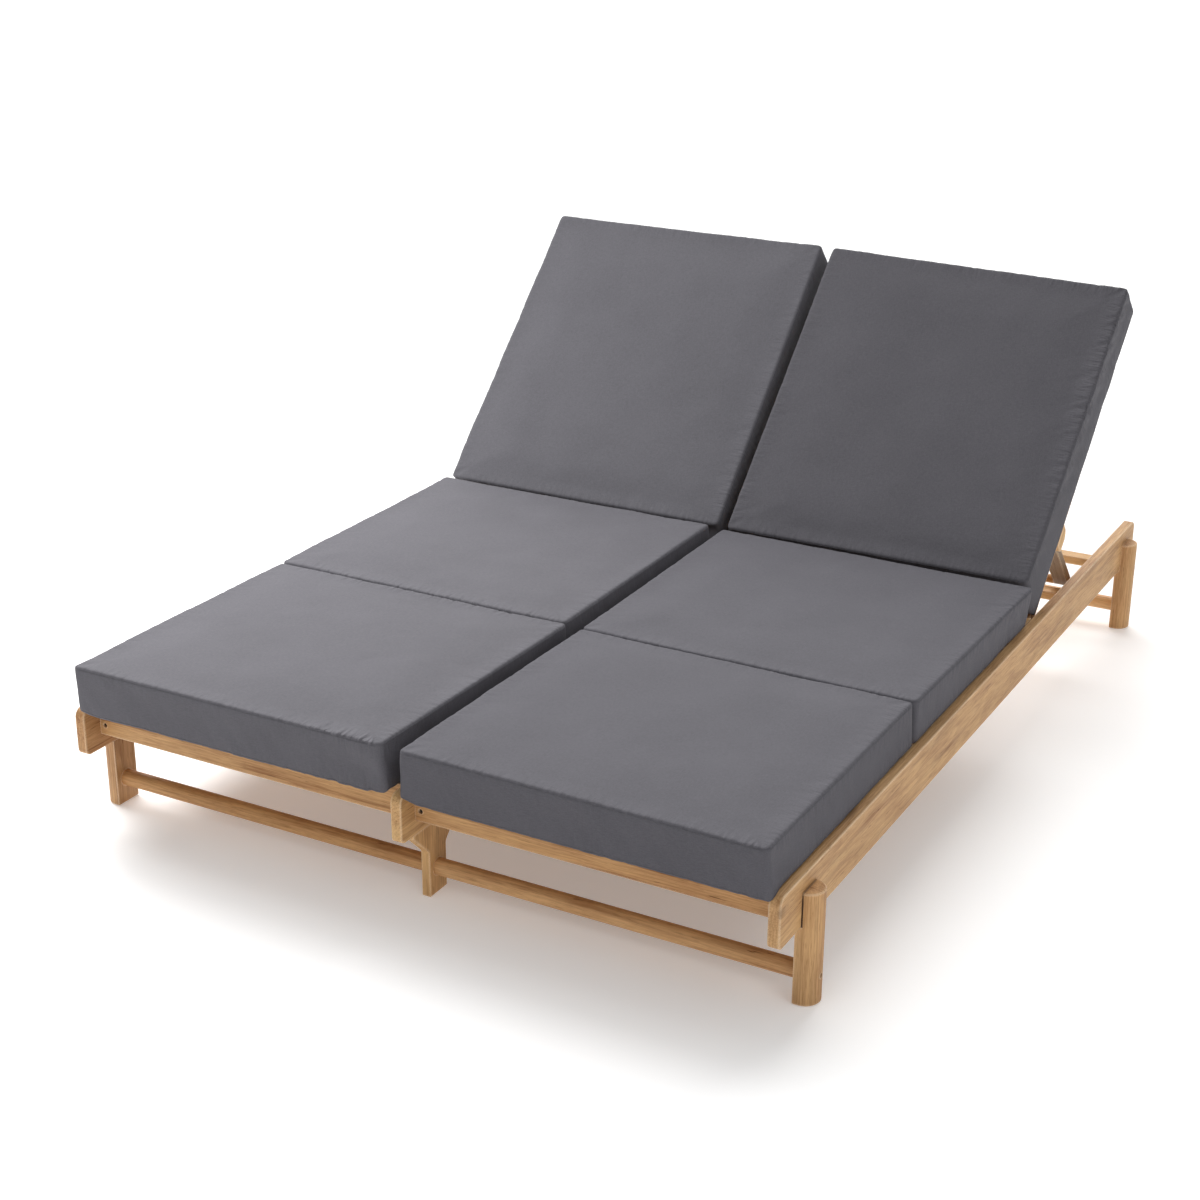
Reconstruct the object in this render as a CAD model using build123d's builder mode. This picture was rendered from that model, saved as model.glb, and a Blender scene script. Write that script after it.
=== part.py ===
from build123d import *
import os
from math import asin, cos, radians, sin, sqrt

# Double chaise lounger in millimetres. X runs across, Y from the foot end to the head end, Z up.
# The origin is on the floor under the middle of the whole piece.

os.makedirs("parts", exist_ok=True)

# Three long rails
rail_length = 2000.0
rail_height = 92.4
rail_thickness = 21.5
rail_underside = 143.0
rail_upper_round = 18.0
rail_lower_round = 12.0
rail_edge_round = 2.0
bay_width = 678.3

# Half-round outer legs and flat centre legs
leg_radius = 27.75
leg_shoulder = 10.2
leg_post = 62.0
leg_edge = 1.5
front_leg_setback = 83.7
rear_leg_setback = 46.0
centre_leg_thickness = 18.0
centre_leg_depth = 52.8
haunch_reach = 46.0
haunch_nose = 8.0
haunch_round = 14.0

# Round stretchers between the legs
stretcher_diameter = 31.5
stretcher_height = 50.0
stretcher_socket = 8.0
centre_socket = 5.0
stretcher_chamfer = 1.0

# Boards across each bay
board_edge = 1.5
apron_setback = 41.3
apron_thickness = 20.0
apron_height = 62.9
cross_slat_width = 34.0
cross_slat_thickness = 19.0
cross_slat_lift = 10.0
stay_slat_from_hinge = 300.0
rear_slat_gap = 3.0
seat_rail_width = 34.0
seat_rail_height = 50.0
seat_end_from_hinge = 22.0

# Ledger cleats and seat slats
cleat_thickness = 20.0
cleat_height = 40.0
seat_slat_width = 58.0
seat_slat_thickness = 12.0
seat_slat_count = 15
seat_slat_start_gap = 4.7
seat_slat_side_gap = 0.5

# Reclining back
hinge_from_foot = 1318.0
back_angle = 43.5
steepest_back_angle = 50.0
back_side_gap = 9.0
stile_thickness = 19.0
stile_above_pivot = 12.0
stile_below_pivot = 18.0
stile_heel = 15.0
stile_heel_round = 14.0
stile_nose_round = 6.0
back_length = 680.0
back_rail_thickness = 19.0
back_bottom_rail_start = 30.0
back_slat_width = 56.0
back_slat_thickness = 10.0
back_slat_count = 9
back_slat_start = 16.0

# Stay that holds the back up, its lugs and its racks
lug_start = 199.0
lug_length = 49.0
lug_drop = 35.0
lug_round = 20.0
lug_small_round = 5.0
prop_length = 229.7
prop_width = 34.0
prop_thickness = 19.0
prop_side_gap = 0.5
crossbar_diameter = 19.0
tenon_diameter = 12.0
tenon_reach = 22.0
rack_thickness = 24.0
rack_height = 26.5
rack_lift = 7.0
rack_front_margin = 50.0
rack_rear_margin = 16.0
rack_notch_radius = 7.0
rack_notch_depth = 8.0
rack_stop_angles = (50.0, 43.5, 35.0, 25.0)
crossbar_hover = 1.8

# Pins and screws
pin_clearance = 0.05
back_pin_diameter = 10.0
back_pin_bite = 9.5
back_pin_hole = 10.0
pin_collar_diameter = 22.0
pin_collar_clearance = 0.3
prop_pin_diameter = 8.0
prop_pin_bite = 15.0
prop_pin_head_diameter = 15.0
prop_pin_head = 3.0
bolt_diameter = 6.0
bolt_head_diameter = 12.0
bolt_head = 4.0
bolt_bite = 18.0
bolt_spread = 26.0
bolt_lift = 20.0
screw_diameter = 4.5
screw_head_diameter = 8.5
screw_head = 3.0
screw_sink = 4.0
screw_recess_diameter = 9.0
screw_bite = 25.0
apron_screw_inset = 12.0
apron_screw_lift = 20.0
rack_screw_inset = 20.0
rack_screw_lift = 8.0
rack_screw_bite = 9.0
leg_screw_sink = 9.0
overrun = 1.0

# Cushions
cushion_overhang = 8.0
cushion_rail_lap = 0.85
back_cushion_side_gap = 1.15
cushion_thickness = 83.0
cushion_crown = 8.0
cushion_edge_round = 9.0
cushion_corner_round = 26.0
cushion_draw_in = 5.0
cushion_seat_gap = 0.3
cushion_panel_gap = 3.0
cushion_back_gap = 1.2
foot_cushion_length = 618.0
back_cushion_heel = 8.0
back_cushion_overhang = 88.0
back_cushion_heel_round = 20.0
crown_inset_shares = (0.12, 0.24)
crown_height_shares = (0.62, 1.0)
edge_level_shares = (0.0, 0.3, 1.0)

# Places that follow from the sizes above
foot_end_y = -(rail_length - cushion_overhang) / 2
head_end_y = foot_end_y + rail_length
rail_top = rail_underside + rail_height
outer_rail_x = rail_thickness + bay_width
outer_face_x = outer_rail_x + rail_thickness / 2
bay_centre_x = (rail_thickness + bay_width) / 2
front_leg_y = foot_end_y + front_leg_setback + leg_radius
rear_leg_y = head_end_y - rear_leg_setback - leg_radius
leg_rows = (("front", front_leg_y), ("rear", rear_leg_y))
sides = (("left", -1), ("right", 1))
bay_edges = (("outer", 1), ("inner", -1))
apron_y = foot_end_y + apron_setback
apron_underside = rail_top - apron_height
cross_slat_z = rail_underside + cross_slat_lift
hinge_y = foot_end_y + hinge_from_foot
slat_seat_v = stile_above_pivot + back_slat_thickness
hinge_z = rail_top - slat_seat_v
seat_end_y = hinge_y - seat_end_from_hinge
seat_slat_underside = rail_top - seat_slat_thickness
cleat_start_y = apron_y + apron_thickness
cleat_end_y = seat_end_y - seat_rail_width
rack_z = rail_underside + rack_lift
rack_top = rack_z + rack_height
stile_x = bay_width / 2 - back_side_gap
prop_face_x = stile_x - stile_thickness - prop_side_gap
prop_inner_x = prop_face_x - prop_width
cushion_width = bay_width + 2 * cushion_rail_lap
back_cushion_width = bay_width - 2 * back_cushion_side_gap
back_cushion_length = back_length + back_cushion_overhang - back_cushion_heel
back_pin_hole_radius = back_pin_diameter / 2 + pin_clearance
prop_pin_hole_radius = prop_pin_diameter / 2 + pin_clearance
tenon_hole_radius = tenon_diameter / 2 + pin_clearance
bolt_hole_radius = bolt_diameter / 2 + pin_clearance
screw_hole_radius = screw_diameter / 2 + pin_clearance


def back_point(along, out, angle):
    """Y and Z of a point given along the back and out from its pivot line, with the back at an angle."""
    turn = radians(angle)
    y = hinge_y + along * cos(turn) - out * sin(turn)
    z = hinge_z + along * sin(turn) + out * cos(turn)
    return y, z


prop_pivot_along = lug_start + lug_length - lug_round
prop_pivot_out = lug_round - stile_below_pivot - lug_drop
crossbar_z = rack_top + tenon_diameter / 2 + crossbar_hover


def crossbar_y(angle):
    """Y of the crossbar's centre when the back stands at an angle and the crossbar lies over the racks."""
    pivot_y, pivot_z = back_point(prop_pivot_along, prop_pivot_out, angle)
    drop = pivot_z - crossbar_z
    return pivot_y + sqrt(prop_length**2 - drop**2)


prop_pivot_y, prop_pivot_z = back_point(prop_pivot_along, prop_pivot_out, back_angle)
prop_slope = asin((prop_pivot_z - crossbar_z) / prop_length)
back_along = Vector(0, cos(radians(back_angle)), sin(radians(back_angle)))
back_out = Vector(0, -sin(radians(back_angle)), cos(radians(back_angle)))
prop_along = Vector(0, cos(prop_slope), -sin(prop_slope))
rack_start_y = crossbar_y(rack_stop_angles[0]) - rack_front_margin
rack_end_y = crossbar_y(0) + rack_rear_margin
rack_screw_places = (rack_start_y + rack_screw_inset, rack_end_y - rack_screw_inset)
rack_screw_z = rack_z + rack_screw_lift
bolt_z = rail_underside + bolt_lift


def back_side_plane(x):
    """Plane across X whose first axis runs up the back and whose second points out of its front."""
    return Plane(origin=(x, hinge_y, hinge_z), x_dir=back_along, z_dir=(1, 0, 0))


def prop_side_plane(x):
    """Plane across X at the stay's pivot, with its first axis towards the crossbar."""
    return Plane(origin=(x, prop_pivot_y, prop_pivot_z), x_dir=prop_along, z_dir=(1, 0, 0))


def crossbar_plane(x):
    """Plane across X centred on the crossbar."""
    centre = Vector(x, prop_pivot_y, prop_pivot_z) + prop_along * prop_length
    return Plane(origin=centre, x_dir=prop_along, z_dir=(1, 0, 0))


def keep(piece, name):
    """Label a finished piece and write it to its own file."""
    piece.part.label = name
    export_step(piece.part, f"parts/{name}.step")


def make_rail(name, x_mid, bay_directions, leg_direction):
    """Long rail with rounded ends, blind holes for pivots and racks, and bolt holes at its legs."""
    with BuildPart() as rail:
        with BuildSketch(Plane.YZ.offset(x_mid - rail_thickness / 2)) as profile:
            with Locations(((foot_end_y + head_end_y) / 2, rail_underside + rail_height / 2)):
                Rectangle(rail_length, rail_height)
            fillet(profile.vertices().group_by(Axis.Y)[-1], rail_upper_round)
            fillet(profile.vertices().group_by(Axis.Y)[0], rail_lower_round)
        extrude(amount=rail_thickness)
        fillet(rail.faces().sort_by(Axis.X)[0].edges(), rail_edge_round)
        fillet(rail.faces().sort_by(Axis.X)[-1].edges(), rail_edge_round)
        for direction in bay_directions:
            face_x = x_mid + direction * rail_thickness / 2
            with BuildSketch(Plane.YZ.offset(face_x)):
                with Locations((hinge_y, hinge_z)):
                    Circle(back_pin_hole_radius)
            extrude(amount=-direction * back_pin_hole, mode=Mode.SUBTRACT)
            with BuildSketch(Plane.YZ.offset(face_x)):
                with Locations(*[(y, rack_screw_z) for y in rack_screw_places]):
                    Circle(screw_hole_radius)
            extrude(amount=-direction * (rack_screw_bite + overrun / 2), mode=Mode.SUBTRACT)
        if leg_direction:
            with BuildSketch(Plane.YZ.offset(x_mid - rail_thickness / 2)):
                with Locations(*bolt_places()):
                    Circle(bolt_hole_radius)
            extrude(amount=rail_thickness, mode=Mode.SUBTRACT)
    keep(rail, name)


def bolt_places():
    """Y and Z of the two bolts behind each outer leg of one side rail."""
    return [(y + step * bolt_spread / 2, bolt_z) for _, y in leg_rows for step in (-1, 1)]


def make_outer_leg(name, side, y_mid):
    """Half-round leg outside a side rail, with a shoulder that the rail stands on."""
    face_x = side * outer_face_x
    inner_x = face_x - side * leg_shoulder
    apex_x = face_x + side * leg_radius
    with BuildPart() as leg:
        with BuildSketch(Plane.XY):
            with BuildLine():
                near = (face_x, y_mid - leg_radius)
                far = (face_x, y_mid + leg_radius)
                Polyline(far, (inner_x, y_mid + leg_radius), (inner_x, y_mid - leg_radius), near)
                ThreePointArc(near, (apex_x, y_mid), far)
            make_face()
        extrude(amount=rail_underside)
        with BuildSketch(Plane.XY.offset(rail_underside)):
            with BuildLine():
                Line(far, near)
                ThreePointArc(near, (apex_x, y_mid), far)
            make_face()
        extrude(amount=leg_post)
        chamfer(leg.faces().sort_by(Axis.Z)[0].edges(), leg_edge)
        chamfer(leg.faces().sort_by(Axis.Z)[-1].edges().filter_by(GeomType.CIRCLE), leg_edge)
        with BuildSketch(Plane.YZ.offset(inner_x)):
            with Locations((y_mid, stretcher_height)):
                Circle(stretcher_diameter / 2 + pin_clearance)
        extrude(amount=side * stretcher_socket, mode=Mode.SUBTRACT)
        with BuildSketch(Plane.YZ.offset(inner_x)):
            with Locations((y_mid, stretcher_height)):
                Circle(screw_hole_radius)
        extrude(amount=side * (leg_shoulder + leg_radius), mode=Mode.SUBTRACT)
        with BuildSketch(Plane.YZ.offset(apex_x - side * leg_screw_sink)):
            with Locations((y_mid, stretcher_height)):
                Circle(screw_recess_diameter / 2)
        extrude(amount=side * (leg_screw_sink + overrun), mode=Mode.SUBTRACT)
        with BuildSketch(Plane.YZ.offset(face_x)):
            with Locations((y_mid - bolt_spread / 2, bolt_z), (y_mid + bolt_spread / 2, bolt_z)):
                Circle(bolt_hole_radius)
        extrude(amount=side * (bolt_bite + overrun), mode=Mode.SUBTRACT)
    keep(leg, name)


def make_centre_leg(name, y_mid):
    """Flat leg under the centre rail, flared below it, with a stretcher socket on each side."""
    half = centre_leg_depth / 2
    flare = half + haunch_reach
    nose_z = rail_underside - haunch_nose
    flare_z = nose_z - haunch_reach
    with BuildPart() as leg:
        with BuildSketch(Plane.YZ.offset(-centre_leg_thickness / 2)) as profile:
            with BuildLine():
                Polyline(
                    (y_mid - half, 0),
                    (y_mid + half, 0),
                    (y_mid + half, flare_z),
                    (y_mid + flare, nose_z),
                    (y_mid + flare, rail_underside),
                    (y_mid - flare, rail_underside),
                    (y_mid - flare, nose_z),
                    (y_mid - half, flare_z),
                    close=True,
                )
            make_face()
            fillet(profile.vertices().group_by(Axis.Y)[1], haunch_round)
        extrude(amount=centre_leg_thickness)
        side_faces = leg.faces().sort_by(Axis.X)
        fillet(side_faces[0].edges() + side_faces[-1].edges(), board_edge)
        for direction in (-1, 1):
            with BuildSketch(Plane.YZ.offset(direction * centre_leg_thickness / 2)):
                with Locations((y_mid, stretcher_height)):
                    Circle(stretcher_diameter / 2 + pin_clearance)
            extrude(amount=-direction * centre_socket, mode=Mode.SUBTRACT)
    keep(leg, name)


def make_stretcher(name, side, y_mid):
    """Round stretcher from a centre leg's socket to an outer leg's socket, bored for its screw."""
    start_x = side * (centre_leg_thickness / 2 - centre_socket)
    end_x = side * (outer_face_x - leg_shoulder + stretcher_socket)
    with BuildPart() as stretcher:
        with BuildSketch(Plane.YZ.offset(start_x)):
            with Locations((y_mid, stretcher_height)):
                Circle(stretcher_diameter / 2)
        extrude(amount=end_x - start_x)
        chamfer(stretcher.edges().filter_by(GeomType.CIRCLE), stretcher_chamfer)
        with BuildSketch(Plane.YZ.offset(end_x)):
            with Locations((y_mid, stretcher_height)):
                Circle(screw_hole_radius)
        extrude(amount=-side * (screw_bite + overrun), mode=Mode.SUBTRACT)
    keep(stretcher, name)


def bay_x(side, across):
    """X of a place given outwards from the middle of a bay."""
    return side * (bay_centre_x + across)


def make_cross_board(name, side, half_length, y_start, width, z_start, height, screw_places=()):
    """Board across a bay, with a stepped hole from its foot face at each screw place."""
    with BuildPart() as board:
        with BuildSketch(Plane.YZ.offset(bay_x(side, -half_length))):
            with Locations((y_start + width / 2, z_start + height / 2)):
                RectangleRounded(width, height, board_edge)
        extrude(amount=side * 2 * half_length)
        if screw_places:
            with BuildSketch(Plane.XZ.offset(-y_start)):
                with Locations(*screw_places):
                    Circle(screw_hole_radius)
            extrude(amount=-width, mode=Mode.SUBTRACT)
            with BuildSketch(Plane.XZ.offset(-y_start)):
                with Locations(*screw_places):
                    Circle(screw_recess_diameter / 2)
            extrude(amount=-(screw_sink + screw_head), mode=Mode.SUBTRACT)
    keep(board, name)


def apron_screw_places(side):
    """X and Z of the two screws through a front apron into the ends of the cleats."""
    reach = bay_width / 2 - apron_screw_inset
    return [(bay_x(side, edge * reach), apron_underside + apron_screw_lift) for _, edge in bay_edges]


def make_cleat(name, side, edge):
    """Ledger cleat on a rail's inner face, under the ends of the seat slats."""
    face_x = bay_x(side, edge * bay_width / 2)
    inward = -side * edge
    screw_x = bay_x(side, edge * (bay_width / 2 - apron_screw_inset))
    with BuildPart() as cleat:
        with BuildSketch(Plane.XZ.offset(-cleat_start_y)):
            with Locations((face_x + inward * cleat_thickness / 2, seat_slat_underside - cleat_height / 2)):
                RectangleRounded(cleat_thickness, cleat_height, board_edge)
        extrude(amount=-(cleat_end_y - cleat_start_y))
        with BuildSketch(Plane.XZ.offset(-cleat_start_y)):
            with Locations((screw_x, apron_underside + apron_screw_lift)):
                Circle(screw_hole_radius)
        extrude(amount=-(screw_bite + overrun), mode=Mode.SUBTRACT)
    keep(cleat, name)


def make_seat_slats(name, side):
    """Row of seat slats from the apron to the end of the seat, level with the tops of the rails."""
    first_y = cleat_start_y + seat_slat_start_gap
    pitch = (seat_end_y - seat_slat_width - first_y) / (seat_slat_count - 1)
    half_length = bay_width / 2 - seat_slat_side_gap
    with BuildPart() as slats:
        with BuildSketch(Plane.YZ.offset(bay_x(side, -half_length))):
            for number in range(seat_slat_count):
                y = first_y + number * pitch + seat_slat_width / 2
                with Locations((y, rail_top - seat_slat_thickness / 2)):
                    RectangleRounded(seat_slat_width, seat_slat_thickness, board_edge)
        extrude(amount=side * 2 * half_length)
    keep(slats, name)


def make_rack(name, side, edge):
    """Rack on a rail's inner face, with a round notch for each stop of the crossbar."""
    face_x = bay_x(side, edge * bay_width / 2)
    inward = -side * edge
    notch_centre_z = rack_top - rack_notch_depth + rack_notch_radius
    with BuildPart() as rack:
        with BuildSketch(Plane.YZ.offset(face_x)):
            with Locations(((rack_start_y + rack_end_y) / 2, rack_z + rack_height / 2)):
                RectangleRounded(rack_end_y - rack_start_y, rack_height, board_edge)
            for angle in rack_stop_angles:
                with Locations((crossbar_y(angle), notch_centre_z)):
                    Circle(rack_notch_radius, mode=Mode.SUBTRACT)
                with Locations((crossbar_y(angle), notch_centre_z + overrun)):
                    Rectangle(2 * rack_notch_radius, 2 * overrun, mode=Mode.SUBTRACT)
        extrude(amount=inward * rack_thickness)
        with BuildSketch(Plane.YZ.offset(face_x)):
            with Locations(*[(y, rack_screw_z) for y in rack_screw_places]):
                Circle(screw_hole_radius)
        extrude(amount=inward * rack_thickness, mode=Mode.SUBTRACT)
        with BuildSketch(Plane.YZ.offset(face_x + inward * rack_thickness)):
            with Locations(*[(y, rack_screw_z) for y in rack_screw_places]):
                Circle(screw_recess_diameter / 2)
        extrude(amount=-inward * (screw_sink + screw_head), mode=Mode.SUBTRACT)
    keep(rack, name)


def make_stile(name, side, edge):
    """Side board of a back, rounded at its pivot end and bored for the pivot pin."""
    near_x = bay_x(side, edge * (stile_x - stile_thickness))
    outward = side * edge
    depth = stile_above_pivot + stile_below_pivot
    with BuildPart() as stile:
        with BuildSketch(back_side_plane(near_x)) as profile:
            with Locations(((back_length - stile_heel) / 2, (stile_above_pivot - stile_below_pivot) / 2)):
                Rectangle(back_length + stile_heel, depth)
            fillet(profile.vertices().group_by(Axis.X)[0].sort_by(Axis.Y)[0], stile_heel_round)
            fillet(profile.vertices().group_by(Axis.X)[-1].sort_by(Axis.Y)[0], stile_nose_round)
        extrude(amount=outward * stile_thickness)
        side_faces = stile.faces().sort_by(Axis.X)
        fillet(side_faces[0].edges() + side_faces[-1].edges(), board_edge)
        with BuildSketch(back_side_plane(near_x)):
            Circle(back_pin_hole_radius)
        extrude(amount=outward * stile_thickness, mode=Mode.SUBTRACT)
    keep(stile, name)


def make_back_rail(name, side, start):
    """Cross rail between the two stiles of a back."""
    half_length = stile_x - stile_thickness
    depth = stile_above_pivot + stile_below_pivot
    with BuildPart() as rail:
        with BuildSketch(back_side_plane(bay_x(side, -half_length))):
            with Locations((start + back_rail_thickness / 2, (stile_above_pivot - stile_below_pivot) / 2)):
                RectangleRounded(back_rail_thickness, depth, board_edge)
        extrude(amount=side * 2 * half_length)
    keep(rail, name)


def make_back_slats(name, side):
    """Row of slats on the front of a back's stiles."""
    pitch = (back_length - back_slat_start - back_slat_width) / (back_slat_count - 1)
    with BuildPart() as slats:
        with BuildSketch(back_side_plane(bay_x(side, -stile_x))):
            for number in range(back_slat_count):
                along = back_slat_start + number * pitch + back_slat_width / 2
                with Locations((along, stile_above_pivot + back_slat_thickness / 2)):
                    RectangleRounded(back_slat_width, back_slat_thickness, board_edge)
        extrude(amount=side * 2 * stile_x)
    keep(slats, name)


def make_prop_lug(name, side, edge):
    """Block under a stile that the stay turns on, rounded about its pivot."""
    near_x = bay_x(side, edge * (stile_x - stile_thickness))
    outward = side * edge
    with BuildPart() as lug:
        with BuildSketch(back_side_plane(near_x)) as profile:
            with Locations((lug_start + lug_length / 2, -stile_below_pivot - lug_drop / 2)):
                Rectangle(lug_length, lug_drop)
            fillet(profile.vertices().group_by(Axis.Y)[0].sort_by(Axis.X)[-1], lug_round)
            fillet(profile.vertices().group_by(Axis.Y)[0].sort_by(Axis.X)[0], lug_small_round)
        extrude(amount=outward * stile_thickness)
        with BuildSketch(prop_side_plane(near_x)):
            Circle(prop_pin_hole_radius)
        extrude(amount=outward * (prop_pin_bite + overrun), mode=Mode.SUBTRACT)
    keep(lug, name)


def make_prop_leg(name, side, edge):
    """Round-ended leg of the stay, bored for its pin and for the crossbar's tenon."""
    near_x = bay_x(side, edge * prop_inner_x)
    outward = side * edge
    with BuildPart() as leg:
        with BuildSketch(prop_side_plane(near_x)):
            with Locations((prop_length / 2, 0)):
                SlotCenterToCenter(prop_length, prop_thickness)
        extrude(amount=outward * prop_width)
        side_faces = leg.faces().sort_by(Axis.X)
        fillet(side_faces[0].edges() + side_faces[-1].edges(), board_edge)
        with BuildSketch(prop_side_plane(near_x)):
            Circle(prop_pin_hole_radius)
            with Locations((prop_length, 0)):
                Circle(tenon_hole_radius)
        extrude(amount=outward * prop_width, mode=Mode.SUBTRACT)
    keep(leg, name)


def make_crossbar(name, side):
    """Round bar between the stay's legs, with thinner ends that pass through them and out over the racks."""
    with BuildPart() as bar:
        with BuildSketch(crossbar_plane(bay_x(side, -prop_inner_x))):
            Circle(crossbar_diameter / 2)
        extrude(amount=side * 2 * prop_inner_x)
        for _, edge in bay_edges:
            with BuildSketch(crossbar_plane(bay_x(side, edge * prop_inner_x))):
                Circle(tenon_diameter / 2)
            extrude(amount=side * edge * (prop_width + tenon_reach))
        ends = bar.faces().sort_by(Axis.X)
        chamfer(ends[0].edges() + ends[-1].edges(), stretcher_chamfer)
    keep(bar, name)


def make_pivot_pins(name, side):
    """Collared pins of a back in its rails, and headed pins of its stay in the lugs."""
    with BuildPart() as pins:
        for _, edge in bay_edges:
            outward = side * edge
            stile_face = bay_x(side, edge * stile_x)
            stile_inner_face = bay_x(side, edge * (stile_x - stile_thickness))
            with BuildSketch(back_side_plane(stile_inner_face)):
                Circle(back_pin_diameter / 2)
            extrude(amount=outward * (stile_thickness + back_side_gap + back_pin_bite))
            with BuildSketch(back_side_plane(stile_face + outward * pin_collar_clearance)):
                Circle(pin_collar_diameter / 2)
            extrude(amount=outward * (back_side_gap - 2 * pin_collar_clearance))
            prop_face = bay_x(side, edge * prop_inner_x)
            with BuildSketch(prop_side_plane(prop_face)):
                Circle(prop_pin_diameter / 2)
            extrude(amount=outward * (prop_width + prop_side_gap + prop_pin_bite))
            with BuildSketch(prop_side_plane(prop_face - outward * pin_collar_clearance)):
                Circle(prop_pin_head_diameter / 2)
            extrude(amount=-outward * prop_pin_head)
            with BuildSketch(prop_side_plane(prop_face)):
                Circle(prop_pin_diameter / 2)
            extrude(amount=-outward * pin_collar_clearance)
    keep(pins, name)


def fixing_places():
    """Each fixing's plane under its head, facing along its shank, with its shank and head sizes."""
    bolt = (bolt_diameter / 2, bolt_head_diameter / 2, bolt_head)
    screw = (screw_diameter / 2, screw_head_diameter / 2, screw_head)
    head_depth = screw_sink + screw_head
    places = []
    for _, side in sides:
        inner_face = side * (outer_face_x - rail_thickness)
        for y, z in bolt_places():
            plane = Plane(origin=(inner_face, y, z), z_dir=(side, 0, 0))
            places.append((plane, rail_thickness + bolt_bite, *bolt))
        for _, y in leg_rows:
            seat_x = side * (outer_face_x + leg_radius - leg_screw_sink)
            plane = Plane(origin=(seat_x, y, stretcher_height), z_dir=(-side, 0, 0))
            wall = leg_shoulder + leg_radius - leg_screw_sink - stretcher_socket
            places.append((plane, wall + screw_bite, *screw))
        for x, z in apron_screw_places(side):
            plane = Plane(origin=(x, apron_y + head_depth, z), z_dir=(0, 1, 0))
            places.append((plane, apron_thickness - head_depth + screw_bite, *screw))
        for _, edge in bay_edges:
            seat_x = bay_x(side, edge * (bay_width / 2 - rack_thickness + head_depth))
            for y in rack_screw_places:
                plane = Plane(origin=(seat_x, y, rack_screw_z), z_dir=(side * edge, 0, 0))
                places.append((plane, rack_thickness - head_depth + rack_screw_bite, *screw))
    return places


def make_frame_fixings(name):
    """Leg bolts, stretcher screws, apron screws and rack screws, each a shank with a round head."""
    with BuildPart() as fixings:
        for plane, shank, shank_radius, head_radius, head in fixing_places():
            with BuildSketch(plane):
                Circle(shank_radius)
            extrude(amount=shank)
            with BuildSketch(plane):
                Circle(head_radius)
            extrude(amount=-head)
    keep(fixings, name)


def rounding(depth, radius):
    """How far a rounded edge stands back at a depth below the face that it runs into."""
    rest = max(radius - depth, 0)
    return radius - sqrt(radius**2 - rest**2)


def cushion_outline(width, length, inset, heel_inset):
    """Cushion outline from its heel upwards: rounded corners joined by sides that draw in between them."""
    corner = cushion_corner_round
    half = width / 2 - inset
    top = length - inset
    mid = (heel_inset + top) / 2
    bevel = corner * (1 - 1 / sqrt(2))
    heel = heel_inset
    with BuildSketch() as outline:
        with BuildLine():
            ThreePointArc((corner - half, heel), (0, heel + cushion_draw_in), (half - corner, heel))
            ThreePointArc((half - corner, heel), (half - bevel, heel + bevel), (half, heel + corner))
            ThreePointArc((half, heel + corner), (half - cushion_draw_in, mid), (half, top - corner))
            ThreePointArc((half, top - corner), (half - bevel, top - bevel), (half - corner, top))
            ThreePointArc((half - corner, top), (0, top - cushion_draw_in), (corner - half, top))
            ThreePointArc((corner - half, top), (bevel - half, top - bevel), (-half, top - corner))
            ThreePointArc((-half, top - corner), (cushion_draw_in - half, mid), (-half, heel + corner))
            ThreePointArc((-half, heel + corner), (bevel - half, heel + bevel), (corner - half, heel))
        make_face()
    return outline.sketch


def make_cushion(name, base, width, length, heel_round=cushion_edge_round):
    """Box cushion on a base plane at its heel: rounded edges, drawn-in sides and a crowned top."""
    with BuildPart() as cushion:
        for share in edge_level_shares:
            height = share * cushion_edge_round
            inset = rounding(height, cushion_edge_round)
            with BuildSketch(base.offset(height)):
                add(cushion_outline(width, length, inset, inset))
        for share in reversed(edge_level_shares):
            depth = share * heel_round
            inset = rounding(depth, cushion_edge_round)
            with BuildSketch(base.offset(cushion_thickness - depth)):
                add(cushion_outline(width, length, inset, rounding(depth, heel_round)))
        for inset_share, height_share in zip(crown_inset_shares, crown_height_shares):
            inset = inset_share * width
            with BuildSketch(base.offset(cushion_thickness + height_share * cushion_crown)):
                add(cushion_outline(width, length, inset, inset))
        loft(ruled=True)
    keep(cushion, name)


def make_frame():
    """Rails, legs, stretchers and fixings."""
    make_rail("left_side_rail", -outer_rail_x, (1,), -1)
    make_rail("centre_rail", 0, (-1, 1), 0)
    make_rail("right_side_rail", outer_rail_x, (-1,), 1)
    for row, y_mid in leg_rows:
        make_centre_leg(f"{row}_centre_leg", y_mid)
        for side_name, side in sides:
            make_outer_leg(f"{row}_{side_name}_leg", side, y_mid)
            make_stretcher(f"{side_name}_{row}_stretcher", side, y_mid)
    make_frame_fixings("frame_fixings")


def make_bay(side_name, side):
    """Boards, cleats, racks and slats between two rails."""
    half = bay_width / 2
    make_cross_board(
        f"{side_name}_front_apron",
        side,
        half,
        apron_y,
        apron_thickness,
        apron_underside,
        apron_height,
        apron_screw_places(side),
    )
    slat = (cross_slat_width, cross_slat_z, cross_slat_thickness)
    stay_slat_y = hinge_y + stay_slat_from_hinge
    make_cross_board(f"{side_name}_stay_slat", side, half - rack_thickness, stay_slat_y, *slat)
    rear_slat_y = rear_leg_y - leg_radius - rear_slat_gap - cross_slat_width
    make_cross_board(f"{side_name}_rear_slat", side, half, rear_slat_y, *slat)
    seat_rail = (seat_rail_width, seat_slat_underside - seat_rail_height, seat_rail_height)
    make_cross_board(f"{side_name}_seat_rail", side, half, cleat_end_y, *seat_rail)
    make_seat_slats(f"{side_name}_seat_slats", side)
    for edge_name, edge in bay_edges:
        make_cleat(f"{side_name}_{edge_name}_cleat", side, edge)
        make_rack(f"{side_name}_{edge_name}_rack", side, edge)


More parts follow.
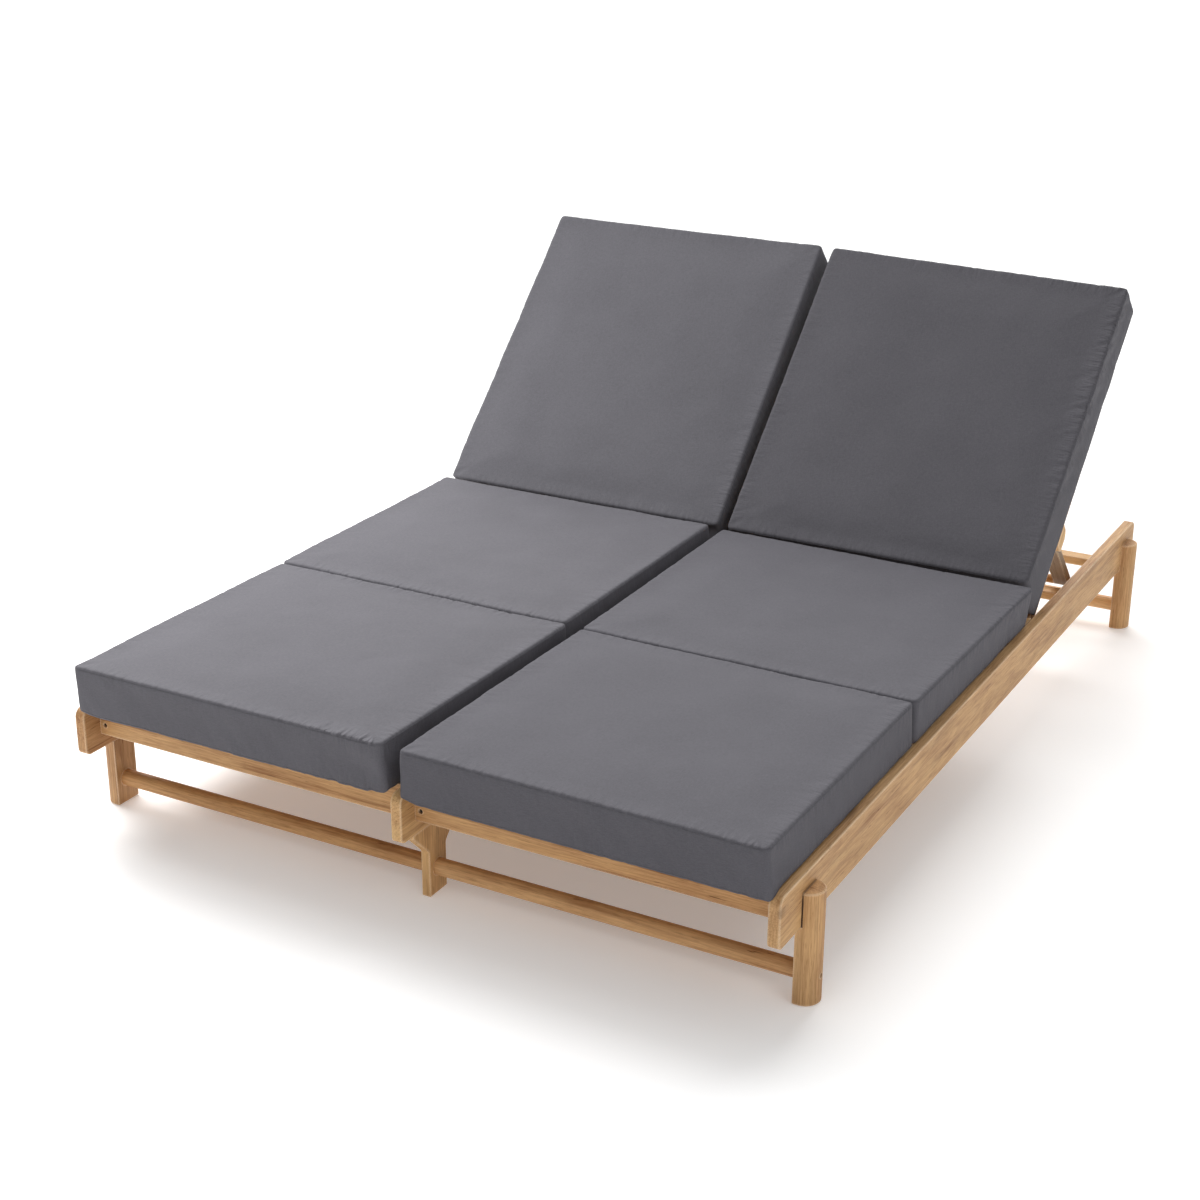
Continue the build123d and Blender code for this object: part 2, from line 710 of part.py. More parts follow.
def make_back(side_name, side):
    """Reclining back and the stay that holds it."""
    for edge_name, edge in bay_edges:
        make_stile(f"{side_name}_{edge_name}_stile", side, edge)
        make_prop_lug(f"{side_name}_{edge_name}_prop_lug", side, edge)
        make_prop_leg(f"{side_name}_{edge_name}_prop_leg", side, edge)
    make_back_rail(f"{side_name}_back_bottom_rail", side, back_bottom_rail_start)
    make_back_rail(f"{side_name}_back_top_rail", side, back_length - back_rail_thickness)
    make_back_slats(f"{side_name}_back_slats", side)
    make_crossbar(f"{side_name}_prop_crossbar", side)
    make_pivot_pins(f"{side_name}_pivot_pins", side)


def make_cushions(side_name, side):
    """Foot, seat and back cushion of one side."""
    seat_z = rail_top + cushion_seat_gap
    foot_y = foot_end_y - cushion_overhang
    seat_y = foot_y + foot_cushion_length + cushion_panel_gap
    heel_along = back_cushion_heel + back_cushion_heel_round
    heel_out = slat_seat_v + cushion_seat_gap + cushion_thickness - back_cushion_heel_round
    heel_y, _ = back_point(heel_along, heel_out, steepest_back_angle)
    seat_length = heel_y - back_cushion_heel_round - cushion_back_gap - seat_y
    foot_base = Plane(origin=(bay_x(side, 0), foot_y, seat_z))
    make_cushion(f"{side_name}_foot_cushion", foot_base, cushion_width, foot_cushion_length)
    seat_base = Plane(origin=(bay_x(side, 0), seat_y, seat_z))
    make_cushion(f"{side_name}_seat_cushion", seat_base, cushion_width, seat_length)
    back_origin = Vector(bay_x(side, 0), hinge_y, hinge_z) + back_along * back_cushion_heel
    back_origin = back_origin + back_out * (slat_seat_v + cushion_seat_gap)
    back_base = Plane(origin=back_origin, x_dir=(1, 0, 0), z_dir=back_out)
    back_size = (back_cushion_width, back_cushion_length, back_cushion_heel_round)
    make_cushion(f"{side_name}_back_cushion", back_base, *back_size)


make_frame()
for side_name, side in sides:
    make_bay(side_name, side)
    make_back(side_name, side)
    make_cushions(side_name, side)
print(f"recline axis y {hinge_y:.3f} z {hinge_z:.3f}")
print(f"stay axis y {prop_pivot_y:.3f} z {prop_pivot_z:.3f}")
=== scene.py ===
from math import atan2, cos, exp, hypot, pi, radians, sin

import bmesh
import bpy
from mathutils import Matrix, Vector, kdtree, noise


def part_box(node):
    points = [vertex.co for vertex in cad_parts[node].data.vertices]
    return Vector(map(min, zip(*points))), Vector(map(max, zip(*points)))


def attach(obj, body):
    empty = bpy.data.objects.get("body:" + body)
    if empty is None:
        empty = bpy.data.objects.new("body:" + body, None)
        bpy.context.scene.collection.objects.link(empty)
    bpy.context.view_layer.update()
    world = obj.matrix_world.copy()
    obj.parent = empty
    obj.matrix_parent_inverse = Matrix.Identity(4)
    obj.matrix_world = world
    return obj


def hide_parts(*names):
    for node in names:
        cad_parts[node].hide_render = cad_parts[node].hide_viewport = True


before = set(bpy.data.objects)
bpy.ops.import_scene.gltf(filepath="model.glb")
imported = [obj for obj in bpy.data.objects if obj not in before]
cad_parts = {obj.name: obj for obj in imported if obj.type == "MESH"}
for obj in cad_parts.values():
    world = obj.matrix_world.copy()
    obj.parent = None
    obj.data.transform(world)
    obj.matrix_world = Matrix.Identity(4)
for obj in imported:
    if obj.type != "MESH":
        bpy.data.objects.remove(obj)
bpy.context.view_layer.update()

# Places of the lounger, in metres. X runs across, Y from the foot end to the head end, Z up.
sides = (("left", -1), ("right", 1))
bay_centre = 0.3499
hinge_y = 0.322
hinge_z = 0.2134
back_angle = radians(43.5)
stay_slope = radians(-44.9)
rail_face_x = 0.71055
rail_underside = 0.143
seat_slat_start = -0.930
seat_slat_pitch = 0.083714
back_slat_start = 0.38
back_slat_pitch = 0.076

# Cushions
cushion_thickness = 0.083
back_cushion_width = 0.676
back_cushion_length = 0.760
back_cushion_heel = 0.008
back_cushion_seat = 0.0223

# The line sewn on a seam, and how much of its radius lies in the cloth
welt_radius = 0.0008
welt_sunk = 0.3

# A cover before it is filled: a box of cells, a little inside its final size. The last two say how near a
# vertex lies that counts as on the rim, and as level with a seam.
cell = 0.009
start_inset = 0.001
plan_round = 0.009
at_rim = 1.5 * start_inset
at_level = cell / 4

# Filling: the cloth solver's run, then how far from its box a place of the cover may stand
pressure_frames = 20
air_pressure = 4.0
panel_ease = 0.02
seam_draw = 0.01
under_reach = 0.001
seam_reach = 0.0006
panel_reach = 0.006
reach_rise = 0.13

# Gathers: how hard the seams pull, depths in metres, and counts of puckers, folds and waves per metre
seam_pull = 0.4
corner_ease = 0.016
lower_seam_ease = 0.035
pucker_depth = 0.004
pucker_slant = 0.5
pucker_start = 0.006
pucker_fade = 0.03
pucker_bias = 0.08
pucker_counts = (62.0, 14.0)
fine_pucker_counts = (105.0, 20.0)
fine_pucker_share = 0.5
fold_counts = (30.0, 9.0)
fold_lean = 0.8
fold_start = 0.008
fold_rise = 0.02
fold_share = 0.8
fold_pull = 1.4
band_width = 0.012
wave_depth = 0.0014
wave_count = 9.0
fine_wave_count = 22.0
fine_wave_share = 0.4
flat_underside = 0.004
underside_rim = 0.02

# Sag of a foot cushion's front lower edge between the rails: from the edge, from the side, and up the band
sag_start = 0.046
sag_run = 0.03
sag_side_run = 0.045
sag_height = 0.07

# Droop of a back cushion beside its right stile, where what hangs low stays inside the rail
droop_depth = 0.022
droop_start = 0.006
droop_run = 0.005
droop_height = 0.05
droop_level = 0.002
droop_side = 0.0003

# Lift of a back cushion's left edge off the rail, and of its heel off the seat cushion
rail_lift = 0.0025
rail_lift_start = 0.014
rail_lift_run = 0.01
rail_lift_height = 0.02
heel_lift = 0.032
heel_lift_start = 0.015
heel_lift_run = 0.06
heel_lift_length = 0.13

# Wood grain noises: counts per metre along the board and across it, detail and roughness
grain_noises = {
    "wander": ((1.6, 9.0, 9.0), 2.0, 0.55),
    "ripple": ((6.0, 30.0, 30.0), 2.0, 0.55),
    "fibre": ((14.0, 330.0, 330.0), 4.0, 0.65),
    "streak": ((2.2, 60.0, 60.0), 4.0, 0.65),
    "pore": ((40.0, 850.0, 850.0), 1.0, 0.55),
    "fleck": ((26.0, 300.0, 300.0), 2.0, 0.55),
    "fleck_patch": ((5.0, 26.0, 26.0), 1.0, 0.55),
    "patch": ((5.0, 26.0, 26.0), 3.0, 0.55),
    "tint": ((0.9, 5.0, 5.0), 1.0, 0.55),
    "grey": ((4.0, 30.0, 30.0), 2.0, 0.6),
}

# Span of its noise over which each mark comes in
mark_spans = {
    "fibre": (0.36, 0.66),
    "streak": (0.5, 0.7),
    "pore": (0.6, 0.7),
    "fleck": (0.64, 0.72),
    "fleck_patch": (0.5, 0.62),
    "patch": (0.4, 0.66),
    "tint": (0.4, 0.7),
    "grey": (0.52, 0.7),
}

# Knots: cells per metre, radii at which one ends, and the share of cells without one
knot_counts = (3.2, 11.0, 11.0)
knot_radii = (0.05, 0.17)
knot_chance = (0.5, 0.55)

# Colour that each mark takes the wood to
grain_colours = {
    "wear_and_highlight": (0.95, 0.76, 0.53),
    "tint": (1.0, 0.86, 0.74),
    "grey": (0.80, 0.84, 0.86),
    "pore": (0.45, 0.35, 0.27),
    "fleck": (0.3, 0.2, 0.13),
    "knot": (0.11, 0.055, 0.025),
}

# How strong each mark is at most
grain_shares = {
    "ring": 0.22,
    "patch": 0.25,
    "fibre": 0.34,
    "board": 0.12,
    "wear_and_highlight": 0.5,
    "tint": 0.35,
    "grey": 0.4,
    "pore": 0.4,
    "fleck": 0.75,
}

# Year rings, pale edges that are both worn and a painted highlight, and how far apart in the log the boards
# of a row lie. A piece of one board is a row with a pitch and a start far outside it.
ring_pitch = 0.006
ring_wander = 0.045
ring_ripple = 0.012
ring_sharpness = 2.2
ring_end = (0.9, 1.0)
tone_floor = 0.05
wear_and_highlight_radius = 0.005
wear_and_highlight_span = (0.004, 0.035)
board_shift = (3.0, 0.2, 0.2)
one_board = (10.0, -5.0)

# Painted shade at a front leg's joint, where the gap to the side rail lies in shadow: where it comes in and
# fades, off the rail's face and above its underside
gap_shade_colour = (0.045, 0.022, 0.012)
gap_shade_width = (0.0022, 0.0032)
gap_shade_start = 0.002
gap_shade_end = (0.05, 0.075)

# Cloth: noise counts per metre, and how far from a seam its gathers show
yarn_pitch = 0.0014
slub_count = 120.0
yarn_count = 900.0
cloud_count = 6.0
gather_counts = (90.0, 18.0, 1.0)
gather_width = 0.045

# Turns that lay a piece's length along X, for its grain or yarn
along_x = (0.0, 0.0, 0.0)
along_y = (0.0, 0.0, -pi / 2)
along_z = (0.0, pi / 2, 0.0)
along_back = (-back_angle, 0.0, -pi / 2)
across_back = (-back_angle, 0.0, 0.0)
along_stay = (-stay_slope, 0.0, -pi / 2)


def smooth(value):
    """0 to 1 with soft ends, for a value from 0 to 1."""
    value = min(max(value, 0.0), 1.0)
    return value * value * (3 - 2 * value)


# Materials

def socket_values(node, values):
    for name, value in values.items():
        node.inputs[name].default_value = value


class Tree:
    """Short ways to add and join shader nodes."""

    def __init__(self, tree):
        self.tree = tree

    def add(self, kind, links=None, **settings):
        node = self.tree.nodes.new(kind)
        values = settings.pop("values", {})
        for name, value in settings.items():
            setattr(node, name, value)
        socket_values(node, values)
        for name, source in (links or {}).items():
            self.join(source, node.inputs[name])
        return node

    def join(self, source, target):
        self.tree.links.new(source, target)

    def fill(self, sockets, values):
        """Each value, an output or a constant, set on its socket."""
        for socket, value in zip(sockets, values):
            if isinstance(value, bpy.types.NodeSocket):
                self.join(value, socket)
            else:
                socket.default_value = value

    def math(self, kind, *values, clamp=False):
        """A Math node on outputs or numbers."""
        node = self.add("ShaderNodeMath", operation=kind, use_clamp=clamp)
        self.fill(node.inputs, values)
        return node.outputs[0]

    def vector(self, kind, *values):
        """A Vector Math node on outputs or tuples."""
        node = self.add("ShaderNodeVectorMath", operation=kind)
        self.fill(node.inputs, values)
        return node.outputs[0]

    def split(self, place):
        """The X, Y and Z outputs of a vector."""
        return self.add("ShaderNodeSeparateXYZ", {"Vector": place}).outputs

    def noise(self, place, counts, detail=3.0, roughness=0.55):
        """Noise with its own count per metre along each axis."""
        scaled = self.vector("MULTIPLY", place, counts)
        values = {"Scale": 1.0, "Detail": detail, "Roughness": roughness}
        return self.add("ShaderNodeTexNoise", {"Vector": scaled}, values=values).outputs["Fac"]

    def spread(self, value, low, high, to_low=0.0, to_high=1.0):
        """A value from one span onto another, held at its ends."""
        values = {"From Min": low, "From Max": high, "To Min": to_low, "To Max": to_high}
        node = self.add("ShaderNodeMapRange", {"Value": value}, values=values)
        node.interpolation_type = "SMOOTHSTEP"
        return node.outputs["Result"]

    def blend(self, share, first, second, kind="MIX"):
        """A Mix node on two colours."""
        node = self.add("ShaderNodeMix", data_type="RGBA", blend_type=kind)
        colours = [(*value, 1.0) if isinstance(value, tuple) else value for value in (first, second)]
        self.fill((node.inputs[0], node.inputs[6], node.inputs[7]), (share, *colours))
        return node.outputs[2]


def new_group(name, inputs):
    """A shader node group that gives a colour, a roughness and a height.

    Returns its Tree, its input node and its output node."""
    group = bpy.data.node_groups.new(name, "ShaderNodeTree")
    for socket_name, kind, value in inputs:
        socket = group.interface.new_socket(socket_name, in_out="INPUT", socket_type=kind)
        if value is not None:
            socket.default_value = value
    for socket_name, kind in (("Color", "Color"), ("Roughness", "Float"), ("Height", "Float")):
        group.interface.new_socket(socket_name, in_out="OUTPUT", socket_type=f"NodeSocket{kind}")
    tree = Tree(group)
    return tree, tree.add("NodeGroupInput"), tree.add("NodeGroupOutput")


# Mask of the pale edges: real wear, and a painted highlight where a rounded arris catches the light
def edge_wear_and_highlight(t, radius):
    """0 on flat faces and more where a face turns a corner within the radius."""
    flat = t.add("ShaderNodeNewGeometry").outputs["Normal"]
    eased = t.add("ShaderNodeBevel", samples=4, values={"Radius": radius}).outputs["Normal"]
    facing = t.add("ShaderNodeVectorMath", operation="DOT_PRODUCT")
    t.fill(facing.inputs, (flat, eased))
    return t.math("SUBTRACT", 1.0, facing.outputs["Value"])


def grain_group():
    """Oiled hardwood. The grain runs along the place's X axis, and each board of a row differs."""
    t, given, out = new_group("board_grain", (
        ("Place", "NodeSocketVector", None),
        ("Light wood", "NodeSocketColor", (0.5, 0.3, 0.15, 1)),
        ("Dark wood", "NodeSocketColor", (0.3, 0.15, 0.06, 1)),
        ("Row pitch", "NodeSocketFloat", 10.0),
        ("Row start", "NodeSocketFloat", -5.0),
        ("Knots", "NodeSocketFloat", 0.5),
        ("Streaks", "NodeSocketFloat", 0.5),
    ))
    place = given.outputs["Place"]

    # Each board of a row is cut from its own place in the log
    from_start = t.math("SUBTRACT", t.split(place)["Y"], given.outputs["Row start"])
    row = t.math("FLOOR", t.math("DIVIDE", from_start, given.outputs["Row pitch"]))
    board = t.add("ShaderNodeTexWhiteNoise", {"W": row}, noise_dimensions="1D")
    shift = t.vector("MULTIPLY", t.vector("SUBTRACT", board.outputs["Color"], (0.5, 0.5, 0.5)), board_shift)
    place = t.vector("ADD", place, shift)

    def noise_of(name):
        return t.noise(place, *grain_noises[name])

    def mark(name, share=1.0):
        return t.spread(noise_of(name), *mark_spans[name], 0.0, share)

    def part(name, value):
        return t.math("MULTIPLY", value, grain_shares[name])

    # Year rings round the log's core, each dark towards its end
    spot = t.split(place)
    away_y = t.math("ADD", spot["Y"], t.math("MULTIPLY", noise_of("wander"), ring_wander))
    away_z = t.math("ADD", spot["Z"], t.math("MULTIPLY", noise_of("ripple"), ring_ripple))
    squares = [t.math("MULTIPLY", away, away) for away in (away_y, away_z)]
    turn = t.math("FRACT", t.math("DIVIDE", t.math("SQRT", t.math("ADD", *squares)), ring_pitch))
    ring = t.math("MULTIPLY", t.math("POWER", turn, ring_sharpness), t.spread(turn, *ring_end, 1.0, 0.0))

    # Fibres, pores, flecks and knots
    fibre = noise_of("fibre")
    pore = mark("pore")
    fleck = t.math("MULTIPLY", mark("fleck"), mark("fleck_patch"))
    knot_place = t.vector("MULTIPLY", place, knot_counts)
    knot_cell = t.add("ShaderNodeTexVoronoi", {"Vector": knot_place}, values={"Scale": 1.0})
    chance = t.add("ShaderNodeSeparateColor", {"Color": knot_cell.outputs["Color"]})
    knot = t.spread(knot_cell.outputs["Distance"], *knot_radii, 1.0, 0.0)
    knot = t.math("MULTIPLY", knot, t.spread(chance.outputs["Red"], *knot_chance))
    knot = t.math("MULTIPLY", knot, given.outputs["Knots"])

    # Tone between the light and the dark wood
    patch = t.math("MULTIPLY_ADD", mark("patch"), grain_shares["patch"], tone_floor)
    dark = t.math("ADD", part("ring", ring), patch)
    dark = t.math("ADD", dark, t.math("MULTIPLY", mark("streak"), given.outputs["Streaks"]))
    dark = t.math("ADD", dark, part("fibre", t.spread(fibre, *mark_spans["fibre"])))
    dark = t.math("ADD", dark, part("board", board.outputs["Value"]), clamp=True)
    colour = t.blend(dark, given.outputs["Light wood"], given.outputs["Dark wood"])

    # Paler edges, worn and also a painted highlight on the arris, warm and grey blotches, then the dark marks
    wear_and_highlight = t.spread(edge_wear_and_highlight(t, wear_and_highlight_radius), *wear_and_highlight_span)
    colour = t.blend(part("wear_and_highlight", wear_and_highlight), colour, grain_colours["wear_and_highlight"])
    tint = mark("tint", grain_shares["tint"])
    colour = t.blend(tint, colour, grain_colours["tint"], "MULTIPLY")
    for name, share in (("grey", mark("grey")), ("pore", pore), ("fleck", fleck)):
        colour = t.blend(part(name, share), colour, grain_colours[name], "MULTIPLY")
    t.join(t.blend(knot, colour, grain_colours["knot"]), out.inputs["Color"])

    # Fibres are rougher and stand out, pores and rings lie deep, and the pale worn and highlit edges are
    # smoother
    rough = t.math("SUBTRACT", t.math("MULTIPLY", fibre, 0.2), t.math("MULTIPLY", wear_and_highlight, 0.1))
    rough = t.math("ADD", rough, 0.45)
    t.join(t.math("ADD", rough, t.math("MULTIPLY", pore, 0.15)), out.inputs["Roughness"])
    height = t.math("SUBTRACT", t.math("MULTIPLY", fibre, 0.5), t.math("MULTIPLY", pore, 0.6))
    t.join(t.math("SUBTRACT", height, t.math("MULTIPLY", ring, 0.25)), out.inputs["Height"])
    return t.tree


def weave_group():
    """Heathered outdoor cloth with a fine plain weave."""
    t, given, out = new_group("heather_weave", (
        ("Place", "NodeSocketVector", None),
        ("Light yarn", "NodeSocketColor", (0.25, 0.25, 0.27, 1)),
        ("Dark yarn", "NodeSocketColor", (0.15, 0.15, 0.16, 1)),
    ))
    place = given.outputs["Place"]
    parts = t.split(place)
    x, y, z = [t.math("SINE", t.math("MULTIPLY", parts[axis], 2 * pi / yarn_pitch)) for axis in "XYZ"]
    weave = t.math("ADD", t.math("MULTIPLY", x, y), t.math("MULTIPLY", y, z))
    weave = t.math("ADD", weave, t.math("MULTIPLY", z, x))
    slub_x = t.noise(place, (slub_count, yarn_count, yarn_count), 2.0)
    slub_y = t.noise(place, (yarn_count, slub_count, yarn_count), 2.0)
    heather = t.math("MULTIPLY", t.math("ADD", slub_x, slub_y), 0.5)
    cloud = t.noise(place, (cloud_count,) * 3, 2.0)
    shade = t.math("ADD", t.spread(heather, 0.3, 0.7, 0.2, 0.8), t.math("MULTIPLY", weave, 0.12))
    cloud = t.math("MULTIPLY", t.math("SUBTRACT", cloud, 0.5), 0.5)
    shade = t.math("ADD", shade, cloud, clamp=True)
    t.join(t.blend(shade, given.outputs["Dark yarn"], given.outputs["Light yarn"]), out.inputs["Color"])
    t.join(t.math("ADD", t.math("MULTIPLY", heather, 0.1), 0.7), out.inputs["Roughness"])
    t.join(t.math("ADD", t.math("MULTIPLY", weave, 0.35), heather), out.inputs["Height"])
    return t.tree


board_grain = grain_group()
heather_weave = weave_group()


def new_material(name):
    """A material with a Principled surface. Returns it with its Tree and the surface."""
    material = bpy.data.materials.new(name)
    material.use_nodes = True
    material.node_tree.nodes.clear()
    tree = Tree(material.node_tree)
    surface = tree.add("ShaderNodeBsdfPrincipled")
    tree.add("ShaderNodeOutputMaterial", {"Surface": surface.outputs["BSDF"]})
    return material, tree, surface


def own_place(t):
    """Places in the piece's own frame, in metres."""
    return t.add("ShaderNodeTexCoord").outputs["Object"]


def coat(t, surface, colour, roughness, bump, specular):
    """Joins a colour, a roughness and a bump to a surface, and sets how much it shines."""
    t.join(colour, surface.inputs["Base Color"])
    t.join(roughness, surface.inputs["Roughness"])
    t.join(bump.outputs["Normal"], surface.inputs["Normal"])
    surface.inputs["Specular IOR Level"].default_value = specular


def painted_gap_shade(t, place, colour):
    """Painted shade: a dark line on a front leg, where its post meets the side rail just above the shoulder
    and the gap between them lies in shadow.
    """
    parts = t.split(place)
    out_x = t.math("ABSOLUTE", parts["X"])
    near = t.spread(out_x, *(rail_face_x + out for out in gap_shade_width), 1.0, 0.0)
    above = t.spread(parts["Z"], rail_underside, rail_underside + gap_shade_start)
    below = t.spread(parts["Z"], *(rail_underside + up for up in gap_shade_end), 1.0, 0.0)
    line = t.math("MULTIPLY", near, t.math("MULTIPLY", above, below))
    return t.blend(line, colour, gap_shade_colour)


def wood(name, turn, start, tone, row=one_board, knots=0.5, streaks=0.5, post=False):
    """Oiled wood whose grain is turned to run along the board, and starts at its own place in the log."""
    material, t, surface = new_material(name)
    place = own_place(t)
    turned = t.add("ShaderNodeMapping", {"Vector": place}, values={"Rotation": turn, "Location": start})
    grain = t.add("ShaderNodeGroup", {"Place": turned.outputs["Vector"]}, node_tree=board_grain, values={
        "Light wood": (*tone[0], 1.0),
        "Dark wood": (*tone[1], 1.0),
        "Row pitch": row[0],
        "Row start": row[1],
        "Knots": knots,
        "Streaks": streaks,
    }).outputs
    bump = t.add("ShaderNodeBump", {"Height": grain["Height"]}, values={"Strength": 0.25, "Distance": 0.0006})
    # Front legs take the painted shade line where their posts meet the rails
    colour = painted_gap_shade(t, place, grain["Color"]) if post else grain["Color"]
    coat(t, surface, colour, grain["Roughness"], bump, 0.3)
    return material


def cloth(name, yarns, turn=along_x):
    """Cushion cloth that gathers at the seams, as the piece's rim attribute says."""
    material, t, surface = new_material(name)
    turned = t.add("ShaderNodeMapping", {"Vector": own_place(t)}, values={"Rotation": turn})
    weave = t.add("ShaderNodeGroup", {"Place": turned.outputs["Vector"]}, node_tree=heather_weave, values={
        "Light yarn": (*yarns[0], 1.0),
        "Dark yarn": (*yarns[1], 1.0),
    }).outputs
    rim = t.add("ShaderNodeAttribute", attribute_name="rim").outputs["Vector"]
    parts = t.split(rim)
    pulled = t.math("MULTIPLY", t.spread(parts["Y"], 0.0, gather_width, 1.0, 0.0), parts["Z"])
    gather = t.noise(t.vector("MULTIPLY", rim, (1.0, 1.0, 0.0)), gather_counts, 2.0)
    gather = t.math("MULTIPLY", gather, pulled)
    fine = t.add("ShaderNodeBump", {"Height": weave["Height"]}, values={"Strength": 0.15, "Distance": 0.0004})
    links = {"Height": gather, "Normal": fine.outputs["Normal"]}
    bump = t.add("ShaderNodeBump", links, values={"Strength": 0.8, "Distance": 0.009})
    coat(t, surface, weave["Color"], weave["Roughness"], bump, 0.2)
    return material


def metal(name, colour):
    """Zinc plated steel with a faint mottle."""
    material, t, surface = new_material(name)
    mottle = t.noise(own_place(t), (260.0, 260.0, 260.0), 2.0)
    darker = tuple(0.7 * c for c in colour)
    t.join(t.blend(t.spread(mottle, 0.3, 0.7), colour, darker), surface.inputs["Base Color"])
    t.join(t.spread(mottle, 0.3, 0.7, 0.28, 0.45), surface.inputs["Roughness"])
    surface.inputs["Metallic"].default_value = 1.0
    return material


# Wood tones, light and dark: boards, aprons and stretchers differ a little, as real ones do. The darker umber
# and dusk stand for painted shade.
honey = ((0.70, 0.42, 0.185), (0.34, 0.155, 0.055))
tan = ((0.68, 0.42, 0.192), (0.32, 0.155, 0.06))
sand = ((0.78, 0.51, 0.235), (0.42, 0.225, 0.09))
shaded_umber = ((0.60, 0.36, 0.165), (0.27, 0.12, 0.045))
amber = ((0.82, 0.52, 0.25), (0.42, 0.21, 0.085))
shaded_dusk = ((0.34, 0.25, 0.165), (0.20, 0.13, 0.08))
slat_tone = (tan[0], honey[1])
seat_row = (seat_slat_pitch, seat_slat_start)
back_row = (back_slat_pitch, back_slat_start)

finishes = {
    # The left rail, front left leg and left front stretcher are darker than their partners on the right as
    # painted shade
    "left_side_rail": wood("left_rail_shaded_wood", along_y, (0.3, 0.62, -0.1), shaded_umber, streaks=0.6),
    "centre_rail": wood("centre_rail_wood", along_y, (1.7, 0.09, -0.15), sand, streaks=0.4),
    "right_side_rail": wood("right_rail_wood", along_y, (2.9, -0.75, -0.12), tan, streaks=0.28),
    "centre_leg": wood("centre_leg_wood", along_z, (0.0, 0.03, 0.4), sand),
    "front_left_leg": wood("front_left_leg_shaded_wood", along_z, (0.1, 0.72, 0.9), shaded_umber, streaks=0.3, post=True),
    "front_right_leg": wood("front_right_leg_wood", along_z, (1.1, -0.68, 0.91), tan, streaks=0.3, post=True),
    "leg": wood("rear_leg_wood", along_z, (2.3, 0.7, -0.9), tan, streaks=0.3),
    "stretcher": wood("stretcher_wood", along_x, (0.4, 0.9, -0.01), amber, knots=0.9),
    "left_front_stretcher": wood("left_stretcher_shaded_wood", along_x, (0.8, 0.9, -0.01), honey, knots=0.9),
    "apron": wood("apron_wood", along_x, (0.9, 1.01, -0.12), honey, knots=0.9, streaks=0.7),
    "seat_slats": wood("seat_slat_wood", along_x, (0.2, 0.0, -0.2), slat_tone, seat_row),
    "back_slats": wood("back_slat_wood", across_back, (0.7, 0.0, 0.1), slat_tone, back_row),
    "slat": wood("cross_slat_wood", along_x, (0.6, -0.6, -0.1), sand),
    "seat_rail": wood("seat_rail_wood", along_x, (1.3, -0.3, -0.12), honey),
    "cleat": wood("cleat_wood", along_y, (0.8, 0.3, -0.1), sand),
    "rack": wood("rack_wood", along_y, (1.2, 0.4, -0.1), honey),
    "stile": wood("stile_wood", along_back, (0.5, 0.33, 0.1), tan),
    "lug": wood("lug_wood", along_back, (1.5, 0.3, 0.1), sand),
    "back_bottom_rail": wood("back_rail_wood", across_back, (1.9, -0.3, 0.1), tan),
    # The prop leg's dark dusk tone is painted shade from the back cushion above it
    "prop_leg": wood("prop_leg_shaded_wood", along_stay, (0.9, 0.35, 0.1), shaded_dusk),
    "crossbar": wood("crossbar_wood", along_x, (1.9, -0.62, -0.2), honey),
    "pins": metal("pin_steel", (0.62, 0.62, 0.64)),
    "fixings": metal("fixing_steel", (0.10, 0.09, 0.085)),
}
finishes["back_top_rail"] = finishes["back_bottom_rail"]


def finish_for(node_name):
    """The finish with the longest key that the node's name holds."""
    return finishes[max((key for key in finishes if key in node_name), key=len)]


for node_name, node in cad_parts.items():
    if "cushion" not in node_name:
        for slot in node.material_slots:
            slot.material = finish_for(node_name)

# Yarns of the cushions and the seams, light and dark. The left cushions' cloth is painted lighter and the
# right cushions' darker, as light and shade falling from the left.
left_lit_yarns = ((0.144, 0.139, 0.156), (0.094, 0.091, 0.102))
right_shaded_yarns = ((0.124, 0.120, 0.136), (0.081, 0.078, 0.089))
left_back_lit_yarns = ((0.146, 0.142, 0.158), (0.096, 0.093, 0.104))
right_back_shaded_yarns = ((0.118, 0.114, 0.128), (0.078, 0.075, 0.085))
seam_yarns = ((0.118, 0.115, 0.128), (0.078, 0.076, 0.085))

cloths = {
    "left": cloth("left_cushion_lit_cloth", left_lit_yarns),
    "right": cloth("right_cushion_shaded_cloth", right_shaded_yarns),
    "left_back": cloth("left_back_cushion_lit_cloth", left_back_lit_yarns, across_back),
    "right_back": cloth("right_back_cushion_shaded_cloth", right_back_shaded_yarns, across_back),
}
seam_cloth = cloth("seam_cloth", seam_yarns)


# Cushions, each in its own frame: its heel or foot edge on X, its underside at Z = 0

def foam_grid(width, length, height):
    """Closed box of even cells."""
    bm = bmesh.new()
    bmesh.ops.create_cube(bm, size=1.0)
    bmesh.ops.scale(bm, vec=(width, length, height), verts=bm.verts)
    bmesh.ops.translate(bm, vec=(0.0, length / 2, height / 2), verts=bm.verts)
    for axis, span in enumerate((width, length, height)):
        lines = [e for e in bm.edges if abs((e.verts[0].co - e.verts[1].co)[axis]) > cell / 10]
        bmesh.ops.subdivide_edges(bm, edges=lines, cuts=round(span / cell) - 1, use_grid_fill=True)
    return bm


def round_plan(place, width, length):
    """Plan corners of the box turned to quarter circles."""
    x, y, z = place
    off_x = abs(x) - (width / 2 - plan_round)
    off_y = abs(y - length / 2) - (length / 2 - plan_round)
    if off_x > 0 and off_y > 0:
        share = max(off_x, off_y) / hypot(off_x, off_y)
        x = (width / 2 - plan_round + off_x * share) * (1 if x > 0 else -1)
        y = length / 2 + (length / 2 - plan_round + off_y * share) * (1 if y > length / 2 else -1)
    return Vector((x, y, z))


def to_rim(place, width, length):
    """How far a place is in plan from the cushion's rim."""
    return min(width / 2 - abs(place.x), place.y, length - place.y)


